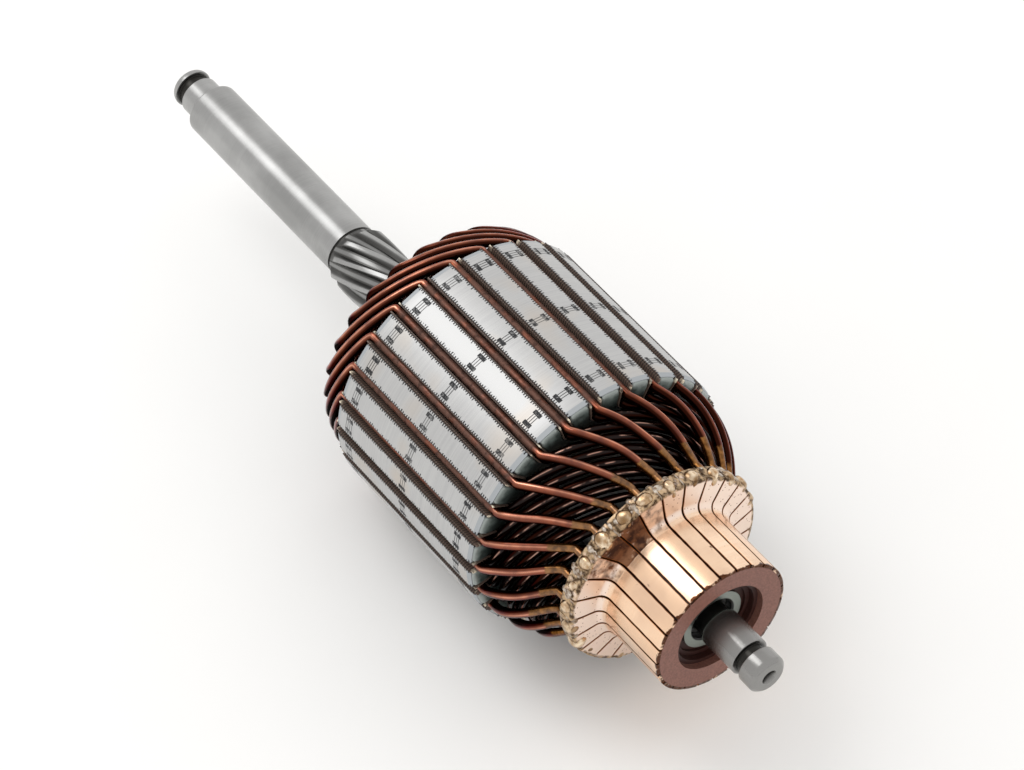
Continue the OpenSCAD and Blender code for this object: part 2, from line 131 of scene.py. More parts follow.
# sRGB hex to linear colour
def tone(text):
    c = np.array([int(text[i:i + 2], 16) for i in (1, 3, 5)]) / 255
    c = np.where(c <= 0.04045, c / 12.92, ((c + 0.055) / 1.055) ** 2.4)
    return (*c.tolist(), 1.0)


# one node with its settings; its inputs, by name or in order, are linked or set, and a hex colour is made linear
def addNode(tree, kind, inputs=(), **settings):
    node = tree.nodes.new("ShaderNode" + kind)
    for key, value in settings.items():
        setattr(node, key, value)
    for key, value in inputs.items() if isinstance(inputs, dict) else enumerate(inputs):
        if isinstance(value, bpy.types.NodeSocket):
            tree.links.new(value, node.inputs[key])
        else:
            node.inputs[key].default_value = tone(value) if isinstance(value, str) else value
    return node.outputs


# a new finish: its material, the function that adds its nodes, and the place on the piece
def newFinish(name):
    finish = bpy.data.materials.new(name)
    finish.use_nodes = True
    finish.node_tree.nodes.clear()
    add = partial(addNode, finish.node_tree)
    return finish, add, add("TexCoord")["Object"]


# shader and output of a finish: its colour is a ground with coats laid over it, each where its share says
def shade(add, colours, ground, coats, **inputs):
    colour = colours[ground]
    for share, coat in coats:
        coat = colours[coat] if isinstance(coat, str) else coat
        colour = add("Mix", {0: share, 6: colour, 7: coat}, data_type="RGBA")[2]
    named = {key.replace("_", " "): value for key, value in inputs.items()}
    surface = add("BsdfPrincipled", {"Base Color": colour, **named})[0]
    add("OutputMaterial", {"Surface": surface})


# fine lines that a tool left round a piece: noise that is short along the shaft and long round it, where sweep says
# how often it changes in a metre
def toolLines(add, place, lineMm, sweep):
    flat = add("Mapping", {"Vector": place, "Scale": (1 / (lineMm * mm), sweep, sweep)})[0]
    return add("TexNoise", {"Vector": flat, "Scale": 1.0, "Detail": 2.0})[0]


# station along the shaft and distance from its axis
def aboutShaft(add, place):
    axes = add("SeparateXYZ", [place])
    flat = add("CombineXYZ", {"Y": axes["Y"], "Z": axes["Z"]})[0]
    return axes["X"], add("VectorMath", [flat], operation="LENGTH")["Value"]


# 1 inside the core, rising at both of its ends from a little outside to a little inside
def withinCore(add, place, outside, inside):
    x = add("SeparateXYZ", [place])["X"]
    front = add("MapRange", (x, (coreX1 + outside) * mm, (coreX1 - inside) * mm))[0]
    back = add("MapRange", (x, (coreX0 - outside) * mm, (coreX0 + inside) * mm))[0]
    return add("Math", (front, back), operation="MULTIPLY")[0]


# a band along the shaft for each sheet of the stack: real sheets are 0.5 mm thick, and are drawn thicker to show;
# a wave repeats after 2 pi / 20 at scale 1
sheetMm = 0.6
sheetWave = {"Scale": 2 * np.pi / (20 * sheetMm * mm), "Distortion": 0.8, "Detail": 1.0, "Detail Scale": 0.2}
print("frame loaded")


# ground steel: fine grinding lines run round the shaft and smear what it mirrors along it, so bright bands lie along
# it; painted shade darkens its grooves, recesses and spline valleys, and the journal is polished and a little
# darker from running in its bush
groundSet = {"light": "#adadac", "dark": "#999998", "run": "#92918f", "oil": "#1d1b17", "lineMm": 0.3, "sweep": 30.0,
             "cloudMm": 9.0, "rough": (0.26, 0.36), "polish": -0.08, "smear": 0.8, "alongShaft": 0.25}
groundSteel, add, place = newFinish("groundSteel")
lines = toolLines(add, place, groundSet["lineMm"], groundSet["sweep"])
clouds = add("TexNoise", {"Vector": place, "Scale": 1 / (groundSet["cloudMm"] * mm), "Detail": 4.0})[0]
# the first mark is painted shade in the grooves, recesses and spline valleys
oil, run = (add("Attribute", attribute_name=key)["Fac"] for key in ("oil", "run"))
wipe = add("Math", (lines, 0.35, clouds), operation="MULTIPLY_ADD")[0]
wipe = add("MapRange", (wipe, 0.5, 0.85))[0]
rough = add("MapRange", (lines, 0.0, 1.0, *groundSet["rough"]))[0]
rough = add("Math", (run, groundSet["polish"], rough), operation="MULTIPLY_ADD")[0]
shade(add, groundSet, "dark", [(wipe, "light"), (run, "run"), (oil, "oil")], Metallic=1.0, Roughness=rough,
      Anisotropic=groundSet["smear"], Anisotropic_Rotation=groundSet["alongShaft"],
      Tangent=add("Tangent", direction_type="RADIAL", axis="X")[0],
      Normal=add("Bump", {"Height": lines, "Strength": 0.04, "Distance": 0.01 * mm})[0])


# turned electrical steel: the stack was skimmed on a lathe, so fine lines run round it, each sheet's edge smears
# into a tick beside the slots, and the staking dents and the lines between them hold dirt
turnedSet = {"light": "#c6c6c5", "dark": "#bababa", "warm": "#c5beb6", "bevel": "#b2b6b9", "wall": "#6c5c53",
             "gap": "#332c29", "dirt": "#1d1e21", "lineMm": 0.25, "sweep": 60.0, "cloudMm": 11.0, "tearMm": 0.7,
             "markMm": 0.55, "tickMm": (0.16, 0.74)}
turnedSteel, add, place = newFinish("turnedSteel")
lines = toolLines(add, place, turnedSet["lineMm"], turnedSet["sweep"])
clouds, tear, worn = (add("TexNoise", {"Vector": place, "Scale": 1 / (turnedSet[key] * mm), "Detail": detail})[0]
                      for key, detail in (("cloudMm", 1.0), ("tearMm", 1.0), ("markMm", 2.0)))
sheets = add("TexWave", {"Vector": place, **sheetWave}, bands_direction="X")[1]
edge, mark, zone, wall, bevel = (add("Attribute", attribute_name=key)["Fac"]
                                 for key in ("edge", "mark", "zone", "wall", "bevel"))
length = add("MapRange", (tear, 0.3, 0.7, *turnedSet["tickMm"]))[0]
past = add("Math", (length, edge), operation="SUBTRACT")[0]
ticks = add("MapRange", (past, -0.06, 0.06))[0]
comb = add("MapRange", (sheets, 0.4, 0.55))[0]
ticks = add("Math", (ticks, comb), operation="MULTIPLY")[0]
lip = add("MapRange", (edge, 0.16, 0.04))[0]
thin = add("MapRange", (sheets, 0.66, 0.92))[0]
thin = add("Math", (thin, zone), operation="MULTIPLY")[0]
worn = add("MapRange", (worn, 0.36, 0.56, 0.75, 1.7))[0]
dirt = add("Math", (mark, worn), operation="MULTIPLY", use_clamp=True)[0]
for more in (ticks, lip, thin):
    dirt = add("Math", (dirt, more), operation="MAXIMUM")[0]
fresh = add("MapRange", (lines, 0.3, 0.7))[0]
tint = add("MapRange", (clouds, 0.56, 0.76))[0]
edges = add("Mix", {0: comb, 6: turnedSet["wall"], 7: turnedSet["gap"]}, data_type="RGBA")[2]
dull = add("Math", (dirt, wall), operation="MAXIMUM")[0]
rough = add("Math", (lines, 0.14, 0.42), operation="MULTIPLY_ADD")[0]
height = add("Math", (dirt, -1.5, lines), operation="MULTIPLY_ADD")[0]
shade(add, turnedSet, "dark", [(fresh, "light"), (tint, "warm"), (bevel, "bevel"), (dirt, "dirt"), (wall, edges)],
      Metallic=add("Math", (1.0, dull), operation="SUBTRACT")[0],
      Roughness=add("Math", (bevel, 0.1, rough), operation="MULTIPLY_ADD")[0],
      Normal=add("Bump", {"Height": height, "Strength": 0.12, "Distance": 0.03 * mm})[0])


# enamelled copper wire: clear red-brown lacquer over drawn copper, so the highlights are orange and sharp;
# painted shade darkens the flanks and makes the lower layer nearly black, a painted glint runs along the crest of
# the lower layer and a painted highlight line beside the crest of the upper layer; dulled by varnish in the slots,
# and scraped bare and scorched where it meets the riser
wireSet = {"enamel": "#9a4c2a", "enamelDark": "#6a2d19", "flank": "#2b110a", "deep": "#170a07", "bare": "#946639",
           "scorch": "#5f3e20", "varnish": "#6c5046", "grime": "#483630", "glint": "#c79a88", "rub": "#e6a283",
           "sheen": "#7a3c2c", "cloudMm": 3.0, "scorchMm": 1.1, "slotEndMm": (0.6, 1.0)}
enamelledWire, add, place = newFinish("enamelledCopperWire")
clouds, scorch = (add("TexNoise", {"Vector": place, "Scale": 1 / (wireSet[key] * mm), "Detail": 3.0})[0]
                  for key in ("cloudMm", "scorchMm"))
# marks: painted shade on the lower layer and the flanks, a painted glint on the crests, a painted highlight line
deep, scraped, flank, crest, rub = (add("Attribute", attribute_name=key)["Fac"]
                                    for key in ("deep", "scraped", "flank", "crest", "rub"))
drift = add("Math", (scorch, 1.2, scraped), operation="MULTIPLY_ADD")[0]
bare = add("MapRange", (drift, 0.45, 0.75))[0]
burnt = add("MapRange", (scorch, 0.64, 0.36))[0]
scraping = add("Mix", {0: burnt, 6: wireSet["bare"], 7: wireSet["scorch"]}, data_type="RGBA")[2]
inSlot = withinCore(add, place, *wireSet["slotEndMm"])
patchy = add("MapRange", (clouds, 0.64, 0.48, 0.6))[0]
dull = add("Math", (inSlot, patchy), operation="MULTIPLY")[0]
soil = add("MapRange", (scorch, 0.5, 0.64, 0.0, 0.85))[0]
soil = add("Mix", {0: soil, 6: wireSet["varnish"], 7: wireSet["grime"]}, data_type="RGBA")[2]
blend = add("MapRange", (clouds, 0.3, 0.7))[0]
# painted glint: a thin line along the crest of the lower layer, broken by the clouds
line = add("Math", (crest, 4.0), operation="POWER")[0]
broken = add("MapRange", (clouds, 0.44, 0.56))[0]
for share in (deep, broken):
    line = add("Math", (line, share), operation="MULTIPLY")[0]
# painted highlight line beside the crest of the upper layer, patchy, and none in the slots
rub = add("Math", (rub, 1.8), operation="POWER")[0]
patchy = add("MapRange", (clouds, 0.3, 0.6, 0.3, 0.9))[0]
rub = add("Math", (rub, patchy), operation="MULTIPLY")[0]
rub = add("Math", (rub, inSlot), operation="SUBTRACT", use_clamp=True)[0]
film = add("Math", (dull, -0.85, 0.9), operation="MULTIPLY_ADD")[0]
film = add("Math", (film, flank), operation="SUBTRACT", use_clamp=True)[0]
film = add("Math", (deep, -0.6, film), operation="MULTIPLY_ADD", use_clamp=True)[0]
shade(add, wireSet, "enamelDark", [(blend, "enamel"), (deep, "deep"), (flank, "flank"), (line, "glint"), (rub, "rub"),
                                   (dull, soil), (bare, scraping)],
      Metallic=add("Math", (dull, -0.65, 0.95), operation="MULTIPLY_ADD")[0],
      Roughness=add("Math", (dull, 0.25, 0.22), operation="MULTIPLY_ADD")[0],
      Specular_Tint=wireSet["sheen"], Coat_Weight=film, Coat_Roughness=0.04)


# turned commutator copper: bright skimmed copper, pale pink on the risers with tiny pits, orange along the slits,
# scorched and dirty at the welded rim, and a brown burn on a few risers that ends at the brush track
copperSet = {"light": "#fbdfc4", "dark": "#f5cfae", "riser": "#f8e2d2", "burn": "#8a6046", "soot": "#483027",
             "pit": "#8f5f45", "side": "#a3622f", "rim": "#584534", "gold": "#cbb08e", "nick": "#55321f",
             "smudge": "#e4c0a4", "cloudMm": 1.6, "scaldMm": 1.1, "smudgeMm": 7.0, "crustMm": 2.4, "lineMm": 0.22,
             "sweep": 60.0, "pitMm": 0.8}
turnedCopper, add, place = newFinish("turnedCopper")
lines = toolLines(add, place, copperSet["lineMm"], copperSet["sweep"])
clouds, scald, smudge, crust = (
    add("TexNoise", {"Vector": place, "Scale": 1 / (copperSet[key] * mm), "Detail": detail})[0]
    for key, detail in (("cloudMm", 4.0), ("scaldMm", 3.0), ("smudgeMm", 2.0), ("crustMm", 3.0)))
burn, riser, side, rim, own, front = (add("Attribute", attribute_name=key)["Fac"]
                                      for key in ("burn", "riser", "side", "rim", "own", "front"))
nick = add("Math", (clouds, 2.6, front), operation="MULTIPLY_ADD")[0]
nick = add("MapRange", (nick, 1.85, 2.1))[0]
scald, crust = (add("Mix", {0: add("MapRange", (cells, 0.42, 0.6))[0], 6: copperSet[low], 7: copperSet[high]},
                    data_type="RGBA")[2] for cells, low, high in ((scald, "rim", "gold"), (crust, "soot", "burn")))
burn, rim = (add("MapRange", (add("Math", (share, clouds), operation="MULTIPLY")[0], 0.22, full))[0]
             for share, full in ((burn, 0.42), (rim, 0.45)))
pits = add("TexVoronoi", {"Vector": place, "Scale": 1 / (copperSet["pitMm"] * mm)})["Distance"]
pits = add("MapRange", (pits, 0.2, 0.1))[0]
pits = add("Math", (pits, riser), operation="MULTIPLY")[0]
blend = add("Math", (lines, own), operation="ADD")[0]
blend = add("MapRange", (blend, 0.25, 0.95))[0]
smudge = add("MapRange", (smudge, 0.46, 0.7, 0.0, 0.7))[0]
rough = add("Math", (lines, 0.1, 0.2), operation="MULTIPLY_ADD")[0]
for share, more in ((riser, 0.12), (rim, 0.2), (burn, 0.2)):
    rough = add("Math", (share, more, rough), operation="MULTIPLY_ADD")[0]
height = add("Math", (pits, -2.0, lines), operation="MULTIPLY_ADD")[0]
height = add("Math", (rim, clouds, height), operation="MULTIPLY_ADD")[0]
shade(add, copperSet, "dark", [(blend, "light"), (smudge, "smudge"), (riser, "riser"), (burn, crust), (pits, "pit"),
                               (side, "side"), (nick, "nick"), (rim, scald)], Metallic=1.0, Roughness=rough,
      Normal=add("Bump", {"Height": height, "Strength": 0.12, "Distance": 0.03 * mm})[0])


# weld metal: copper that melted and froze, pale gold on the crown with brown scale in its foot and on a few nuggets
weldSet = {"light": "#f0dcc0", "dark": "#b38d63", "foot": "#5a402a", "scale": "#8a6a48", "grainMm": 1.3, "heatMm": 4.0}
weldMetal, add, place = newFinish("frozenWeldCopper")
grain, heat = (add("TexNoise", {"Vector": place, "Scale": 1 / (weldSet[key] * mm), "Detail": detail})[0]
               for key, detail in (("grainMm", 4.0), ("heatMm", 2.0)))
blend = add("MapRange", (grain, 0.34, 0.66))[0]
heat = add("MapRange", (heat, 0.46, 0.62, 0.0, 0.85))[0]
ragged = add("MapRange", (grain, 0.58, 0.44))[0]
foot = add("Math", (add("Attribute", attribute_name="foot")["Fac"], ragged), operation="MULTIPLY")[0]
shade(add, weldSet, "dark", [(blend, "light"), (heat, "scale"), (foot, "foot")], Metallic=1.0, Roughness=0.26,
      Normal=add("Bump", {"Height": grain, "Strength": 0.25, "Distance": 0.12 * mm})[0])


# weld flux: grey-brown glassy crust that spattered between the nuggets
fluxSet = {"light": "#d3c8ba", "dark": "#7a6149", "grainMm": 0.8}
fluxCrust, add, place = newFinish("weldFluxCrust")
grain = add("TexNoise", {"Vector": place, "Scale": 1 / (fluxSet["grainMm"] * mm), "Detail": 4.0})[0]
blend = add("MapRange", (grain, 0.38, 0.62))[0]
shade(add, fluxSet, "dark", [(blend, "light")], Metallic=0.3, Roughness=0.35,
      Normal=add("Bump", {"Height": grain, "Strength": 0.6, "Distance": 0.15 * mm})[0])


# moulded phenolic: brown resin with fine filler, skimmed to a satin front ring, dark where the tool left it inside
# and soot-black at the foot of the slits
phenolicSet = {"light": "#8c5f52", "dark": "#744d42", "inside": "#381c16", "slit": "#3a241a", "grainMm": 0.35,
               "recessR": 10.25, "slitR": 13.35}
phenolic, add, place = newFinish("mouldedPhenolic")
x, radius = aboutShaft(add, place)
grain = add("TexNoise", {"Vector": place, "Scale": 1 / (phenolicSet["grainMm"] * mm), "Detail": 4.0})[0]
blend = add("MapRange", (grain, 0.35, 0.65))[0]
recess = add("MapRange", (radius, (phenolicSet["recessR"] + 0.06) * mm, (phenolicSet["recessR"] - 0.02) * mm))[0]
behind = add("MapRange", (x, (armature["faceX"] - 0.15) * mm, (armature["faceX"] - 0.35) * mm))[0]
slitFoot = add("Math", (radius, phenolicSet["slitR"] * mm), operation="GREATER_THAN")[0]
slitFoot = add("Math", (slitFoot, behind), operation="MULTIPLY")[0]
shade(add, phenolicSet, "dark", [(blend, "light"), (recess, "inside"), (slitFoot, "slit")], Roughness=0.45,
      Specular_IOR_Level=0.3, Normal=add("Bump", {"Height": grain, "Strength": 0.2, "Distance": 0.03 * mm})[0])


# satin steel of the bush: turned, a little green-grey from oil, with painted shade, black and not metal, in its bore
bushSet = {"light": "#969c95", "dark": "#79807a", "bore": "#11110f", "boreR": 5.25, "grainMm": 0.25}
satinSteel, add, place = newFinish("satinBushSteel")
radius = aboutShaft(add, place)[1]
grain = add("TexNoise", {"Vector": place, "Scale": 1 / (bushSet["grainMm"] * mm), "Detail": 2.0})[0]
bore = add("MapRange", (radius, (bushSet["boreR"] + 0.04) * mm, (bushSet["boreR"] - 0.1) * mm))[0]
shade(add, bushSet, "dark", [(grain, "light"), (bore, "bore")], Roughness=0.36,
      Metallic=add("Math", (1.0, bore), operation="SUBTRACT")[0])


# lacquered fibre: dark green-grey pressed board under thick glossy varnish, with painted shade low down between the
# wires and a painted highlight, lighter, at the rim
fibreSet = {"light": "#727c77", "dark": "#3a4440", "crown": "#949c98", "foot": "#222927", "grainMm": 1.8,
            "footR": 26.6, "middleR": 28.6, "crownR": 30.2}
lacqueredFibre, add, place = newFinish("lacqueredFibre")
radius = aboutShaft(add, place)[1]
grain = add("TexNoise", {"Vector": place, "Scale": 1 / (fibreSet["grainMm"] * mm), "Detail": 3.0})[0]
blend = add("MapRange", (grain, 0.35, 0.65))[0]
# painted shade towards the foot and a painted highlight towards the crown of the rim
foot, crown = (add("MapRange", (radius, fibreSet["middleR"] * mm, fibreSet[key] * mm))[0]
               for key in ("footR", "crownR"))
shade(add, fibreSet, "dark", [(blend, "light"), (foot, "foot"), (crown, "crown")], Roughness=0.4, Coat_Weight=0.6,
      Coat_Roughness=0.16, Normal=add("Bump", {"Height": grain, "Strength": 0.6, "Distance": 0.4 * mm})[0])


# liner paper: soaked brown with varnish inside the slots, where the sheets' edges print through as dark lines, with a
# few cream rags at the slots' ends
paperSet = {"cream": "#e9dec6", "soaked": "#67564c", "print": "#3b322d", "ragMm": 1.6, "fibreMm": 0.5, "creamR": 29.4,
            "slotEndMm": (0.3, 0.5)}
linerPaper, add, place = newFinish("varnishedPaper")
radius = aboutShaft(add, place)[1]
inside = withinCore(add, place, *paperSet["slotEndMm"])
rag, fibre = (add("TexNoise", {"Vector": place, "Scale": 1 / (paperSet[key] * mm), "Detail": detail})[0]
              for key, detail in (("ragMm", 2.0), ("fibreMm", 3.0)))
rag = add("MapRange", (rag, 0.56, 0.46))[0]
lower = add("MapRange", (radius, (paperSet["creamR"] + 0.2) * mm, (paperSet["creamR"] - 0.2) * mm))[0]
soaked = add("Math", (inside, rag), operation="MAXIMUM")[0]
soaked = add("Math", (soaked, lower), operation="MAXIMUM")[0]
sheets = add("TexWave", {"Vector": place, **sheetWave}, bands_direction="X")[1]
printed = add("MapRange", (sheets, 0.38, 0.62))[0]
printed = add("Math", (printed, inside), operation="MULTIPLY")[0]
shade(add, paperSet, "cream", [(soaked, "soaked"), (printed, "print")], Roughness=0.5,
      Normal=add("Bump", {"Height": fibre, "Strength": 0.3, "Distance": 0.05 * mm})[0])

for node, finish in {"slot_liners": linerPaper, "commutator_moulding": phenolic, "commutator_bush": satinSteel}.items():
    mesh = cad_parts[node].data
    mesh.materials.clear()
    mesh.materials.append(finish)
print("finishes made")


# shaft: outline turned round the axis, and helical teeth as a second radius over angle
shaftSet = {
    "tipX": -188.565, "driveX0": -179.265, "driveX1": -126.565, "endX": 10.9, "seatX": -27.02, "neckX": -8.5,
    "headR": 1.7, "pilotR": 4.4, "pilotGroove": (2.0, 4.3, 3.5),        # a groove's two ends and radius
    "driveR": 6.0, "driveBevel": 0.4, "undercutL": 0.6, "undercutR": 5.7, "coreSeatR": 7.48, "bushSeatR": 4.88,
    "neckR": 3.6, "journalX": -4.8, "journalR": 4.25, "journalBevel": 0.4, "clipGroove": (4.8, 6.7, 3.3),
    "endBevel": 0.9, "centreR": 0.9, "centreMouthR": 1.7, "coneL": 1.39, "centreL": 3.5,    # lathe centres in both ends
    "teeth": 10, "toothR": 7.2, "rootR": 5.9, "rampR": 5.85, "splineL": 22.0, "lead": 110.0, "phase": 157.0,
    "crestDeg": 3.58, "rootDeg": 10.6, "rise": 2.2, "grooveShade": 0.92, "valleyShade": 0.8}


def makeShaft(s):
    tip, d0, d1, end, neck, jx = (s[key] for key in ("tipX", "driveX0", "driveX1", "endX", "neckX", "journalX"))
    pr, dr, jr, under = s["pilotR"], s["driveR"], s["journalR"], d1 - s["undercutL"]
    g0, g1, gr = s["pilotGroove"]
    c0, c1, cr = s["clipGroove"]
    hole, mouth, bevel = s["centreR"], s["centreMouthR"], s["journalBevel"]
    turn = np.radians(np.linspace(0, 90, 9))
    head = np.stack([tip + s["headR"] * (1 - np.cos(turn)), pr - s["headR"] * (1 - np.sin(turn)), 0 * turn], -1)
    drive = rounded([
        (tip + s["centreL"], hole, 0), (tip + s["coneL"], hole, 0), (tip, mouth, 0.12), *head,
        (tip + g0, pr, 0.1), (tip + g0, gr, 0.2), (tip + g1, gr, 0.2), (tip + g1, pr, 0.2), (d0, pr, 0.15),
        (d0, dr - s["driveBevel"], 0.15), (d0 + s["driveBevel"], dr, 0.2), (under, dr, 0.12),
        (under, s["undercutR"], 0.08), (d1, s["undercutR"], 0)])
    along = np.concatenate([[0.02], np.linspace(0.35, s["rise"], 7), np.linspace(3, s["splineL"], 26)])
    spline = np.stack([d1 + along, np.full(len(along), dr)], -1)
    comm = rounded([
        (d1 + s["splineL"], s["coreSeatR"], 0), (s["seatX"], s["coreSeatR"], 0.2), (s["seatX"], s["bushSeatR"], 0.1),
        (neck, s["bushSeatR"], 0.2), (neck, s["neckR"], 0.2), (jx, s["neckR"], 0.15), (jx, jr - bevel, 0.1),
        (jx + bevel, jr, 0.2), (c0, jr, 0.2), (c0, cr, 0.15), (c1, cr, 0.15), (c1, jr, 0.2),
        (end - s["endBevel"], jr, 0.35), (end, jr - s["endBevel"], 0.3), (end, mouth, 0.12),
        (end - s["coneL"], hole, 0), (end - s["centreL"], hole, 0)])
    x, r = np.concatenate([drive, spline, comm]).T
    # columns over half a tooth's share of the circle, close together on the flank
    share = 360 / s["teeth"]
    half = np.array([0, 1.6, 3.0, s["crestDeg"], 4.1, 5.6, 7.2, 8.8, 10.0, 11.0, 12.6, 15.0])
    step = np.concatenate([half, [share / 2], share - half[:0:-1]])
    angles = (np.arange(s["teeth"])[:, None] * share + step).ravel()
    along = np.clip(x - d1, 0, s["splineL"])
    a = s["phase"] + angles[None, :] - 360 * along[:, None] / s["lead"]
    # tooth radius falls along a straight flank from crest to root, under a ramp at the lead-in
    off = np.abs((angles + share / 2) % share - share / 2)
    flank = np.interp(off, [s["crestDeg"], s["rootDeg"]], [s["toothR"], s["rootR"]])
    ramp = np.interp(along, [0, s["rise"]], [s["rampR"], s["toothR"]])
    inside = (x > d1) & (x <= d1 + s["splineL"]) & (r < 7)
    tooth = np.where(inside[:, None], np.minimum(flank[None, :], ramp[:, None]), 0)
    radius = np.maximum(r[:, None], tooth)
    # painted shade below a radius in the grooves, the undercut, the end's centre and the neck, and between the teeth
    near = 0.05                 # how far the painted shade spreads past a groove
    shadedBands = [(tip + g0 - near, tip + g1 + near, 4.2), (c0 - near, c1 + near, 4.0), (under - near, d1 + 0.01, 5.75),
             (end - s["centreL"] - near, end, 1.0), (neck - near, jx + near, 3.9)]
    groove = np.any([(x > x0) & (x < x1) & (r < low) for x0, x1, low in shadedBands], 0)
    valley = s["valleyShade"] * np.interp(off, [12.6, 15.0], [1, 0.4])        # less painted shade on the floor between the teeth
    oil = np.where(inside[:, None], np.clip((s["toothR"] - 0.12 - radius) / 0.3, 0, 1) * valley, 0)
    oil = np.maximum(oil, s["grooveShade"] * groove[:, None])
    run = np.broadcast_to((x > jx + 0.1)[:, None], radius.shape)
    makePiece("splinedShaft", polar(x[:, None], radius, a), tubeFaces(len(x), len(angles)), groundSteel,
              ["shaft"], sharpOver=38, marks={"oil": oil, "run": run})


makeShaft(shaftSet)
print("shaft made")


# faces of a slotted body: its rows of outline, its bore, and at both ends one flat face for each slot between them
def slottedFaces(rows, n):
    slots, boreN = armature["slots"], armature["boreN"]
    cols, nb = n * slots, boreN * slots
    count, i = rows * cols, np.arange(nb)
    faces = gridFaces(rows, cols).tolist()
    faces += np.stack([count + i, count + nb + i, count + nb + (i + 1) % nb, count + (i + 1) % nb], -1).tolist()
    for k in range(slots):
        rim = [(k * n + j) % cols for j in range(n + 1)]
        hole = [(k * boreN + j) % nb for j in range(boreN + 1)]
        faces.append([count + h for h in hole] + rim[::-1])
        faces.append([(rows - 1) * cols + j for j in rim] + [count + nb + h for h in hole[::-1]])
    return faces


# a slotted body's points, with two rings behind them that bound its bore
def withBore(points, x0, x1, r):
    share = np.arange(armature["boreN"]) / armature["boreN"]
    a = (slotAngles[:, None] - pitch / 2 + pitch * share).ravel()
    return np.concatenate([points.reshape(-1, 3), polar(x0, r, a), polar(x1, r, a)])


# both sides of a slot from one side, as distance out and across; the last point is the middle of the slot's floor
def bothSides(u, w):
    return np.concatenate([u, u[-2:0:-1]]), np.concatenate([-w, w[-2:0:-1]])


# lamination stack: the slotted outline of one sheet carried along the shaft, bevelled at both ends,
# with three rings of staking dents pressed into the teeth
stackSet = {"bevelL": 1.0, "bevelH": 0.36, "boreR": 7.5, "edgeR": 0.1, "stakeShare": (0.105, 0.505, 0.91),
            "stakeDeg": 4.6, "stakeHalfDeg": 0.75, "stakeL": 2.0, "stakeDepth": 0.15, "ridgeMm": 0.5}


def makeStack(s):
    top, low, half, slots = armature["coreR"], armature["lowR"], armature["slotW"] / 2, armature["slots"]
    mouth = np.degrees(np.arcsin(half / top))
    deg, wide = s["stakeDeg"], s["stakeHalfDeg"]
    # one side of a slot, from the middle of a tooth over its edge, down the wall and round half the floor
    crown = np.radians([pitch / 2, 6.3, deg + wide + 0.2, deg + wide, deg + wide - 0.18, deg, deg - wide + 0.18,
                        deg - wide, deg - wide - 0.2, 3.3, 2.95, mouth + 0.19])
    wallU = np.array([np.sqrt(top ** 2 - half ** 2) - s["edgeR"], 29.6, 28.0, low])
    turn = np.radians([108, 126, 144, 162, 180])
    u, w = bothSides(np.concatenate([top * np.cos(crown), wallU, low + half * np.cos(turn)]),
                     np.concatenate([top * np.sin(crown), np.full(4, half), half * np.sin(turn)]))
    r, a = np.hypot(u, w), np.degrees(np.arctan2(w, u))
    onCrown = r > top - 0.01
    # stations: both bevels, and close rows where the dents are
    near = np.concatenate([[-0.56], np.linspace(-0.5, 0.5, 17), [0.56]]) * s["stakeL"]
    ends = np.array([0, 0.5, 0.96, 1.0]) * s["bevelL"]
    stakeX = coreX1 - np.array(s["stakeShare"]) * (coreX1 - coreX0)
    plain = coreX0 + np.array([12, 30])
    x = np.sort(np.concatenate([coreX0 + ends, coreX1 - ends, (stakeX[:, None] + near).ravel(), plain]))
    toEnd = np.minimum(x - coreX0, coreX1 - x)
    drop = s["bevelH"] * np.clip(1 - toEnd / s["bevelL"], 0, 1)
    ring = np.argmin(np.abs(x[:, None] - stakeX), 1)
    dx = x - stakeX[ring]
    within = np.abs(dx) <= s["stakeL"] / 2 - 0.01
    bars = np.cos(2 * np.pi * dx / s["ridgeMm"])
    # share of a dent's depth and of its dirt over the columns, from its two sides to its middle
    out = np.abs(np.abs(a) - deg) / wide
    dip = np.where(onCrown, np.interp(out, [0.76, 1], [1, 0]), 0)
    rimDirt = np.where(onCrown, np.interp(out, [0, 0.76, 1, 1.25], [0, 0.5, 1, 0]), 0)
    tooth = (np.arange(slots)[:, None] - (a < 0)) % slots
    vary = rng.uniform(0.75, 1, (len(stakeX), slots))[ring[:, None, None], tooth[None]]
    dents = (within * (0.7 + 0.3 * bars))[:, None, None] * dip * s["stakeDepth"] * vary
    radius = r - dents - drop[:, None, None] * onCrown
    points = polar(x[:, None, None], radius, slotAngles[None, :, None] + a)
    # the marks that the finish reads
    atEnd = np.abs(np.abs(dx) - s["stakeL"] / 2) < 0.02
    inner = np.where(atEnd, 1, within * (0.72 + 0.28 * (bars > 0.5)))[:, None, None] * (out < 0.9)
    marks = {
        "edge": np.where(onCrown, (np.abs(a) - mouth) * np.pi / 180 * top, 0),
        "mark": np.maximum(inner * onCrown, (within | atEnd)[:, None, None] * rimDirt) * vary,
        "zone": (np.abs(dx) < s["stakeL"] / 2 + 0.02)[:, None, None] * onCrown * np.where(out > 1, vary, 0),
        "wall": ~onCrown,
        "bevel": (toEnd < s["bevelL"] - 0.02)[:, None, None]}
    spare = np.zeros(2 * slots * armature["boreN"])
    marks = {key: np.append(np.broadcast_to(value, radius.shape), spare) for key, value in marks.items()}
    makePiece("laminationStack", withBore(points, x[0], x[-1], s["boreR"]), slottedFaces(len(x), len(u)), turnedSteel,
              ["lamination_stack"], sharpOver=35, marks=marks)


makeStack(stackSet)


# end plates: the slotted outline of the plate, flared at the rim, drawn in over a quarter circle from the
# stack's end to the plate's face
plateSet = {"t": 0.5, "drop": 0.5, "boreR": 7.52, "flareW": 0.5, "flareL": 1.4, "flareRound": 0.5, "wallR": 27.4,
            "roundMm": 0.6, "crownMm": 1.6, "crownFromR": 29.0, "steps": 9}


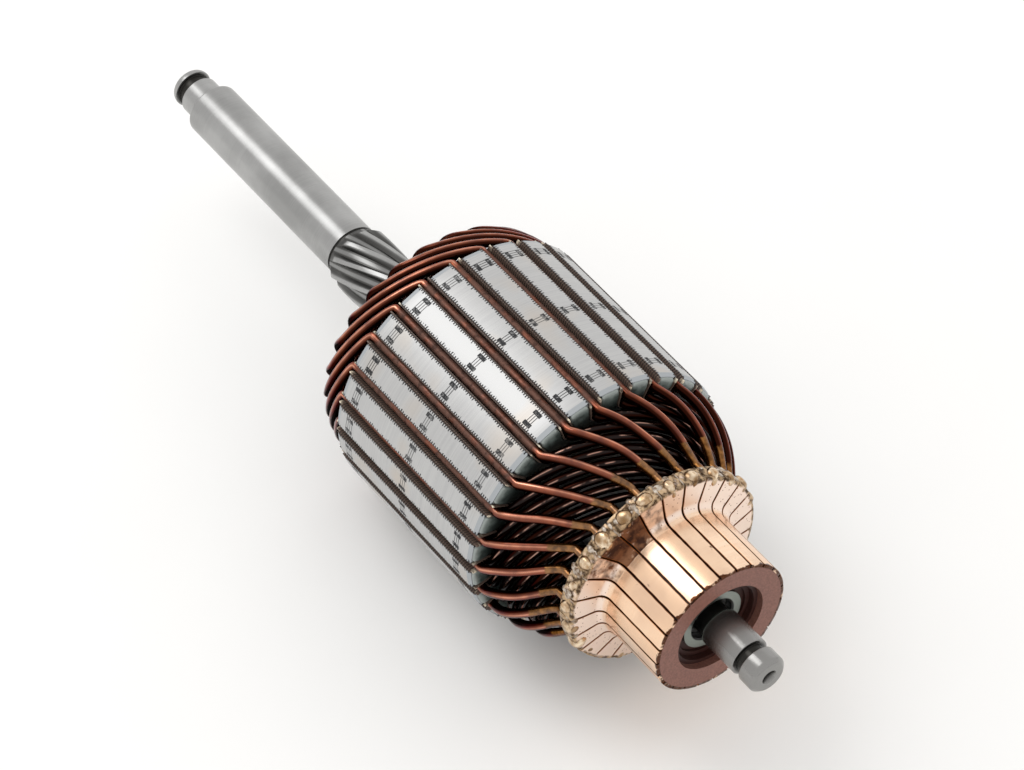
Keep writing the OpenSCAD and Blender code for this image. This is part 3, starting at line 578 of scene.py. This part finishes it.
def makePlate(name, node, x, out, s):
    half, low = armature["slotW"] / 2, armature["lowR"]
    rim = armature["coreR"] - s["drop"]
    corner = np.degrees(np.arcsin((half + s["flareW"]) / rim))
    arc = np.radians([pitch / 2, 6.8, 6.4, 6.0, corner])
    turn = np.radians([90, 108, 126, 144, 162, 180])
    side = np.concatenate([
        np.stack([rim * np.cos(arc), rim * np.sin(arc), [0, 0, 0, 0, s["roundMm"]]], -1),
        [(rim - s["flareL"], half, s["flareRound"]), (s["wallR"], half, 0)],
        np.stack([low + half * np.cos(turn), half * np.sin(turn), 0 * turn], -1)])
    u, w = bothSides(*rounded(side, 5).T)
    # way inwards from the outline, worked out on three neighbouring slots so that it carries on past one
    a3 = np.radians(pitch * np.array([-1, 0, 1]))[:, None]
    ring = np.stack([(u * np.cos(a3) - w * np.sin(a3)).ravel(), (u * np.sin(a3) + w * np.cos(a3)).ravel()], -1)
    way = np.roll(ring, -1, 0) - np.roll(ring, 1, 0)
    inward = unit(np.stack([-way[:, 1], way[:, 0]], -1))[len(u):2 * len(u)]
    roll = np.radians(np.linspace(0, 90, s["steps"]))
    # the rim rolls over further than the sides of the slots
    crown = np.clip((np.abs(w) - half - s["flareW"] - 0.1) / 0.8, 0, 1) * (u > s["crownFromR"])
    wide = s["t"] + (s["crownMm"] - s["t"]) * crown
    inset = (1 - np.cos(roll))[:, None] * wide + 0.02
    flat = (np.stack([u, w], -1) + inset[..., None] * inward)[::out]
    station = (x + out * s["t"] * np.sin(roll))[::out]
    radius, angle = np.hypot(flat[..., 0], flat[..., 1]), np.degrees(np.arctan2(flat[..., 1], flat[..., 0]))
    points = polar(station[:, None, None], radius[:, None], slotAngles[None, :, None] + angle[:, None])
    makePiece(name, withBore(points, station[0], station[-1], s["boreR"]), slottedFaces(s["steps"], len(u)),
              lacqueredFibre, [node], sharpOver=50)


makePlate("endPlateCommutatorSide", "end_plate_commutator_side", coreX1, 1, plateSet)
makePlate("endPlateDriveSide", "end_plate_drive_side", coreX0, -1, plateSet)
print("stack and end plates made")


# hairpin coils: a round wire carried along a path of station, radius and angle; the leads turn evenly between
# a bend at each end, and the overhang has a steep outer run, a flatter tip and an inner run
coilSet = {"wireR": 0.96, "layer": 2.35, "seatR": 21.2, "endX": -23.32, "mouthX": -27.4, "leadX": -42.765,
           "noseX0": -89.465, "noseReach": 8.855, "noseDrop": 3.45, "bend": 1.2, "tipHalf": 2.65, "span": 6,
           "outerShare": 0.477, "tipShare": 0.167, "leadPull": (0.1, 0.6), "outerPull": (0.53, 0.07, 0.46),
           "innerPull": (0.64, 0.58, 0.41), "leadN": 40, "noseN": 28, "sides": 16, "sway": 0.4, "lift": 0.2,
           "lit": 0.2, "bareX": (-32.0, -30.2), "bareThinner": 0.07}


# cubic curve through its four control points, its points close together at both ends
def bezier(points, n):
    a, b, c, d = (np.array(p, float) for p in points)
    t = (1 - np.cos(np.pi * np.linspace(0, 1, n)))[:, None] / 2
    return a * (1 - t) ** 3 + 3 * b * t * (1 - t) ** 2 + 3 * c * t * t * (1 - t) + d * t ** 3


def chainLengths(p):
    return np.concatenate([[0], np.cumsum(np.linalg.norm(np.diff(p, axis=0), axis=1))])


# turn along a run of wire: each bend is a ramp that is rounded over the bend's length
def turned(s, bends, rates, bend):
    total, last = 0, 0
    for place, rate in zip(bends, list(rates) + [0]):
        d = s - place
        ramp = np.where(d <= -bend / 2, 0, np.where(d >= bend / 2, d, (d + bend / 2) ** 2 / (2 * bend)))
        total, last = total + (rate - last) * ramp, rate
    return total


# share of a lead's turn, even between the bends at its two ends
def leadShare(p, bend):
    s = chainLengths(p)
    return turned(s, [bend / 2, s[-1] - bend / 2], [1 / (s[-1] - bend)], bend)


def coilPath(s):
    top, seat, layer, leadN, noseN = armature["topR"], s["seatR"], s["layer"], s["leadN"], s["noseN"]
    mouth, leadX, x0, nose, drop = s["mouthX"], s["leadX"], s["noseX0"], s["noseReach"], s["noseDrop"]
    reach, pull, op, ip = mouth - leadX, s["leadPull"], s["outerPull"], s["innerPull"]
    lead = bezier([(mouth, seat), (mouth - pull[0] * reach, seat), (leadX + pull[1] * reach, top), (leadX, top)], leadN)
    way = unit(np.gradient(lead, axis=0))
    under = (lead - layer * np.stack([way[:, 1], -way[:, 0]], -1))[::-1]
    tip = np.array([x0 - nose, top - drop])
    outer = bezier([(x0, top), (x0 - op[0] * nose, top - op[1] * drop), tip + (0, op[2] * drop), tip], noseN)
    inner = bezier([tip, tip - (0, ip[0] * drop), (x0 - ip[1] * nose, tip[1] - ip[2] * drop), (x0, top - layer)], noseN)
    over = np.concatenate([outer, inner[1:]])
    coilTurn = s["span"] * pitch
    upperTurn, lowerTurn = armature["barShift"] - pitch, coilTurn - armature["barShift"]
    leadA = upperTurn * (1 - leadShare(lead, s["bend"]))
    underA = coilTurn - lowerTurn * leadShare(under, s["bend"])
    ns = chainLengths(over)
    middle, edge = ns[noseN - 1], s["bend"] / 2
    bends = np.array([edge, middle - s["tipHalf"], middle + s["tipHalf"], ns[-1] - edge])
    shares = np.array([s["outerShare"], s["tipShare"], 1 - s["outerShare"] - s["tipShare"]])
    overA = turned(ns, bends, coilTurn * shares / np.diff(bends), s["bend"])
    line = np.concatenate([[[s["endX"], seat]], lead, over, under, [[s["endX"], seat - layer]]])
    angle = np.concatenate([[upperTurn], leadA, overA, underA, [armature["barShift"]]])
    free = np.zeros(len(angle))
    free[1:leadN + 1] = np.sin(np.pi * np.linspace(0, 1, leadN)) ** 2       # where an upper lead may sway
    # share of painted shade: none on the upper layer, rising along the inner run, full on the lower layer
    deep = np.concatenate([np.zeros(leadN + 1 + noseN), np.linspace(0, 1, noseN - 1), np.ones(leadN + 1)])
    return line[:, 0], line[:, 1], angle, free, deep


def makeCoils(s):
    x, r, a, free, deep = coilPath(s)
    n, rows = s["sides"], np.ones((len(x), 1))
    ring = np.linspace(0, 2 * np.pi, n, endpoint=False)
    faces = tubeFaces(len(x), n)
    side = np.abs(np.cos(ring)) * rows                  # 1 on the outer and inner face, 0 on the flanks
    # painted shade on the flanks, its lighter middle turned by lit towards one side, and the crests that carry a
    # painted glint
    clear = np.abs(np.cos(ring - s["lit"])) * rows
    marks = {"deep": np.repeat(deep, n), "flank": np.clip((0.98 - clear) / 0.38, 0, 1),
             "crest": np.clip((side - 0.93) / 0.07, 0, 1)}
    # one painted highlight line along the upper layer: beside the crest on the leads, on the crest of the overhang
    marks["rub"] = (1 - deep)[:, None] * (np.arange(n) == np.where(x < coreX0, 0, 1)[:, None])
    for k, start in enumerate(slotAngles):
        sway, lift, lean = rng.uniform(-1, 1, 3)
        bareX = rng.uniform(*s["bareX"])
        rk = r + free * lift * s["lift"]
        ak = start + a + np.degrees(free * (sway + 0.5 * lean * np.sin(0.6 * x)) * s["sway"] / r)
        places = polar(x, rk, ak)
        step = unit(np.diff(places, axis=0))
        way = unit(np.concatenate([step[:1], step[:-1] + step[1:], step[-1:]]))
        level = unit(np.stack([np.gradient(x), np.gradient(rk)], -1))
        across = unit(np.cross(way, polar(level[:, 1], -level[:, 0], ak)))
        out = np.cross(across, way)
        # the scraped end is a little thinner than the lacquered wire
        wire = s["wireR"] * (1 - s["bareThinner"] * np.clip(x - bareX, 0, 1))[:, None, None]
        section = out[:, None] * np.cos(ring)[:, None] + across[:, None] * np.sin(ring)[:, None]
        scraped = np.repeat(np.where(deep > 0.5, -3, np.clip(x - bareX, -3, 3)), n)
        makePiece(f"hairpinCoil{k + 1:02d}", places[:, None] + wire * section, faces, enamelledWire,
                  [f"coil_{k + 1:02d}"], sharpOver=50, marks={**marks, "scraped": scraped})


makeCoils(coilSet)
print("coils made")


# commutator bars: the outline of a bar with its riser carried across its share of the circle, with edges that wander
# a little along the slits, and a pocket for the two wire ends in the riser's back
barSet = {"trackR": 15.5, "riserR": 22.45, "riserT": 3.6, "lean": 0.7, "fillet": 2.0, "slit": 0.33, "barT": 2.2,
          "lipT": 0.72, "lipL": 1.5, "bevel": 0.04, "tintMm": 0.17, "wander": 0.06, "wanderMm": 3.1, "ragged": 0.2,
          "pocketHalf": 1.03, "pocketR": (17.82, 22.23), "pocketL": 2.2, "rimR": 21.2, "tint": (-0.3, 0.35),
          "faceR": (22.0, 21.3, 20.5, 19.7, 18.9, 18.2), "trackX": -18.2, "trackN": 13,
          "burnt": {8: 0.5, 9: 1.0, 10: 1.0, 11: 0.62}, "burnL": 2.1}


def makeBars(s):
    back, front, top, track = armature["riserX"], armature["faceX"], s["riserR"], s["trackR"]
    face, under, lipX, lipR = back + s["riserT"], track - s["barT"], front - s["lipL"], track - s["lipT"]
    root = face + s["lean"]
    p0, p1 = s["pocketR"]
    turn = np.radians(np.linspace(180, 270, 9))
    fillet = np.stack([root + s["fillet"] * (1 + np.cos(turn)), track + s["fillet"] * (1 + np.sin(turn))], -1)
    faceR = np.array(s["faceR"])
    leaning = np.stack([face + s["lean"] * (top - faceR) / (top - fillet[0, 1]), faceR], -1)
    run = np.stack([np.linspace(s["trackX"], front - 0.9, s["trackN"]), np.full(s["trackN"], track)], -1)
    outline = np.concatenate([
        [(back, under), (back, track), (back, p0 - 0.01), (back, p0 + 0.01), (back, 20), (back, p1 - 0.01),
         (back, p1 + 0.01), (back + 0.1, top), (back + 1.2, top), (back + 2.4, top), (face - 0.15, top),
         (face + 0.02, top - 0.15)], leaning, fillet, run,
        [(front - 0.12, track), (front, track - 0.1), (front, lipR), (lipX, lipR), (lipX, under)]])
    x, r = outline.T
    # outline drawn in by the bevel along its own normal
    sides = [np.roll(outline, -1, 0) - outline, outline - np.roll(outline, 1, 0)]
    normal = unit(sum(unit(np.stack([side[:, 1], -side[:, 0]], -1)) for side in sides))
    drawn = outline + s["bevel"] * normal
    h = (np.radians(pitch / 2) - np.arcsin(s["slit"] / 2 / r)) * r
    pk = s["pocketHalf"]
    inner = [np.full_like(h, v) for v in (-pk - 0.01, -pk + 0.01, -0.68, -0.34, 0, 0.34, 0.68, pk - 0.01, pk + 0.01)]
    edges = [h, h - s["bevel"], h - s["tintMm"]]
    across = np.stack([-e for e in edges] + inner + edges[::-1], -1)
    rows, cols = across.shape
    px, pr = np.repeat(x[:, None], cols, 1), np.repeat(r[:, None], cols, 1)
    px[:, [0, -1]], pr[:, [0, -1]] = drawn[:, :1], drawn[:, 1:]
    inPocket = (x[:, None] < back + 0.01) & (r[:, None] > p0) & (r[:, None] < p1) & (np.abs(across) < pk)
    px = px + inPocket * s["pocketL"]
    # the marks that the finish reads: riser's face, welded rim, sides of the slits and the front edge
    side = np.zeros((rows, cols))
    side[:, [0, 1, -2, -1]] = (1, 0.8, 0.8, 1)
    marks = {"riser": np.clip((px - back - 0.5) / 0.5, 0, 1) * np.clip((pr - track - 0.25) / 0.3, 0, 1),
             "rim": np.clip((pr - s["rimR"]) / 0.9, 0, 1), "side": side,
             "front": np.clip((px - front + 0.5) / 0.5, 0, 1) * (pr > track - 1)}
    faces = (gridFaces(rows + 1, cols, closed=False) % (rows * cols)).tolist()
    faces += [list(range(0, rows * cols, cols)), list(range(cols - 1, rows * cols, cols))[::-1]]
    lip = (np.abs(px - front) < 0.02) & (pr > track - 0.5)
    onRiser = np.clip((root + s["burnL"] - px) / 0.5, 0, 1) * np.clip((px - back - 0.3) / 0.5, 0, 1)
    for k, start in enumerate(barAngles):
        kx = px - lip * s["ragged"] * np.abs(rng.uniform(-1, 1, cols)) ** 1.5
        # both edges keep a little back from the slit's middle, more and less along the bar
        wave = np.stack([swell(outline, s["wanderMm"]), swell(outline, s["wanderMm"])], -1)
        wave = np.clip(0.5 + wave, 0, 1) * s["wander"]
        wide = across.copy()
        wide[:, :3] += wave[:, :1]
        wide[:, -3:] -= wave[:, 1:]
        burn = s["burnt"].get(k + 1, 0.0) * onRiser
        own = np.full((rows, cols), rng.uniform(*s["tint"]))
        makePiece(f"commutatorBar{k + 1:02d}", polar(kx, pr, start + np.degrees(wide / r[:, None])), faces,
                  turnedCopper, [f"commutator_bar_{k + 1:02d}"], sharpOver=40,
                  marks={**marks, "burn": burn, "own": own})


makeBars(barSet)


# weld nuggets and flux: balls whose radius swells by a few random waves, pressed a little flat on top; pairs of
# numbers are the least and the most of what varies
nuggetSet = {"r": 1.9, "x": 2.1, "stand": 0.95, "rows": 18, "cols": 28, "swell": 0.19, "press": 0.86,
             "size": (0.93, 1.02), "long": (0.92, 1.02), "wide": (0.85, 1.0), "along": (-0.35, 0.1),
             "rise": (0.7, 1), "turn": (-0.6, 0.6)}
fluxLumpSet = {"r": (0.45, 0.95), "count": 110, "slitR": (0.8, 1.15), "slitX": (0.7, 2.2), "slitForm": (1.3, 0.8, 0.75),
               "slitAlong": (-0.3, 0.5), "slitRise": (-1, 1), "slitTurn": (-0.8, 0.8), "stand": 0.3, "rows": 7,
               "cols": 9, "swell": 0.22, "press": 9, "spread": (0.8, 1.5), "flat": 0.7, "along": (0.3, 2.4),
               "rise": (0.2, 1.2)}
lumpWave = 2.6                  # length of the waves on a ball of radius 1


def ballGrid(rows, cols):
    u = np.linspace(0.02, np.pi - 0.02, rows)[:, None]
    v = np.linspace(0, 2 * np.pi, cols, endpoint=False)[None, :]
    ball = np.stack(np.broadcast_arrays(np.cos(u), np.sin(u) * np.cos(v), np.sin(u) * np.sin(v)), -1)
    return ball, [face[::-1] for face in tubeFaces(rows, cols)]


# lumps as rows of size, stretch, station, radius and angle: each ball is set out along the shaft, outwards and sideways
def makeLumps(name, lumps, s, finish):
    ball, faces = ballGrid(s["rows"], s["cols"])
    faces = [np.array(face) for face in faces]
    points, foot, skin = [], [], []
    rimX, rimR = armature["riserX"] + barSet["riserT"], barSet["riserR"]
    for k, (size, stretch, x, r, angle) in enumerate(lumps):
        lump = ball * size * stretch * (1 + s["swell"] * swell(ball, lumpWave)[..., None])
        lump[..., 1] -= np.clip(lump[..., 1] - s["press"] * size, 0, None) * 0.55
        local = lump + np.array([x, r, 0])
        dx, dr = local[..., 0] - rimX, local[..., 1] - rimR
        corner = np.hypot(np.clip(dr, 0, None), np.clip(dx, 0, None))
        foot.append(np.clip(1 - np.maximum(np.maximum(dr, dx), corner) / 0.25, 0, 1).ravel())
        c, q = np.cos(np.radians(angle)), np.sin(np.radians(angle))
        local = local @ np.array([[1, 0, 0], [0, c, q], [0, -q, c]])
        skin += [(face + k * s["rows"] * s["cols"]).tolist() for face in faces]
        points.append(local.reshape(-1, 3))
    makePiece(name, np.concatenate(points), skin, finish, marks={"foot": np.concatenate(foot)})


def nuggetRows(s):
    for start in barAngles:
        size = s["r"] * rng.uniform(*s["size"])
        stretch = np.array([rng.uniform(*s["long"]), 1.0, rng.uniform(*s["wide"])])
        yield (size, stretch, armature["riserX"] + s["x"] + rng.uniform(*s["along"]),
               barSet["riserR"] + s["stand"] * rng.uniform(*s["rise"]) - size, start + rng.uniform(*s["turn"]))


def fluxRows(s):
    back, top, stand = armature["riserX"], barSet["riserR"], s["stand"]
    for start in barAngles:     # crust that closes the slits at the rim
        for x in s["slitX"]:
            size = rng.uniform(*s["slitR"])
            yield (size, np.array(s["slitForm"]), back + x + rng.uniform(*s["slitAlong"]),
                   top + stand * rng.uniform(*s["slitRise"]) - s["slitForm"][1] * size,
                   start + pitch / 2 + rng.uniform(*s["slitTurn"]))
    for k in range(s["count"]):
        size = rng.uniform(*s["r"])
        yield (size, np.array([rng.uniform(*s["spread"]), s["flat"], rng.uniform(*s["spread"])]),
               back + rng.uniform(*s["along"]), top + stand * rng.uniform(*s["rise"]) - s["flat"] * size,
               rng.uniform(0, 360))


makeLumps("weldNuggets", nuggetRows(nuggetSet), nuggetSet, weldMetal)
makeLumps("weldFlux", fluxRows(fluxLumpSet), fluxLumpSet, fluxCrust)
print("commutator made")


# pale paper floor that the armature rests on
floorSet = {"z": -armature["coreR"], "half": 1500.0, "light": "#fbfbfa", "dark": "#f8f8f7", "grainMm": 1000 / 30}
palePaper, add, place = newFinish("palePaper")
grain = add("TexNoise", {"Vector": place, "Scale": 1 / (floorSet["grainMm"] * mm), "Detail": 2.0})[0]
shade(add, floorSet, "dark", [(grain, "light")], Roughness=0.7)
corners = [(x * floorSet["half"] * mm, y * floorSet["half"] * mm, floorSet["z"] * mm)
           for x, y in ((-1, -1), (1, -1), (1, 1), (-1, 1))]
floorMesh = bpy.data.meshes.new("floor")
floorMesh.from_pydata(corners, [], [(0, 1, 2, 3)])
floorMesh.materials.append(palePaper)
floor = bpy.data.objects.new("floor", floorMesh)
scene.collection.objects.link(floor)


# a camera or lamp at its place, by its right, up and back directions
def standing(name, data, at, right, up, back):
    thing = bpy.data.objects.new(name, data)
    scene.collection.objects.link(thing)
    pose = np.eye(4)
    pose[:3] = np.stack([right, up, back, np.array(at) * mm], 1)
    thing.matrix_world = Matrix(pose.tolist())
    return thing


# camera of the photo: where its eye is and how it looks
cameraSet = {"eye": (360.306, -318.810, 617.286), "lens": 143.72, "sensor": 36.0, "azimuth": 53.5403,
             "elevation": 48.5928, "clip": (0.01, 20.0)}
az, el = np.radians(cameraSet["azimuth"]), np.radians(cameraSet["elevation"])
back = np.array([np.sin(az) * np.cos(el), -np.cos(az) * np.cos(el), np.sin(el)])
right = np.array([np.cos(az), np.sin(az), 0])
lensData = bpy.data.cameras.new("camera")
lensData.lens, lensData.sensor_width = cameraSet["lens"], cameraSet["sensor"]
lensData.clip_start, lensData.clip_end = cameraSet["clip"]
scene.camera = standing("camera", lensData, cameraSet["eye"], right, np.cross(back, right), back)

# soft studio light: each box is given by where it stands, what it faces, its size and its power
lightSet = {
    "topBox": {"at": (-550, -235, 722), "to": (-73, 0, 0), "size": (400, 580), "power": 1.75},
    "backBox": {"at": (-709, 900, 360), "to": (-73, 0, 0), "size": (1400, 700), "power": 0.4},
}
for name, s in lightSet.items():
    lamp = bpy.data.lights.new(name, "AREA")
    lamp.shape, lamp.energy = "RECTANGLE", s["power"]
    lamp.size, lamp.size_y = s["size"][0] * mm, s["size"][1] * mm
    away = unit(np.array(s["at"], float) - np.array(s["to"], float))
    side = unit(np.cross((0, 0, 1), away))
    standing(name, lamp, s["at"], side, np.cross(away, side), away)

# even light from all round
studioSet = {"colour": "#ebeae9", "strength": 1.14}
world = bpy.data.worlds.new("studio")
world.use_nodes = True
background = world.node_tree.nodes["Background"].inputs
background["Color"].default_value = tone(studioSet["colour"])
background["Strength"].default_value = studioSet["strength"]
scene.world = world
scene.view_settings.view_transform = "Standard"
print("stage and light made")
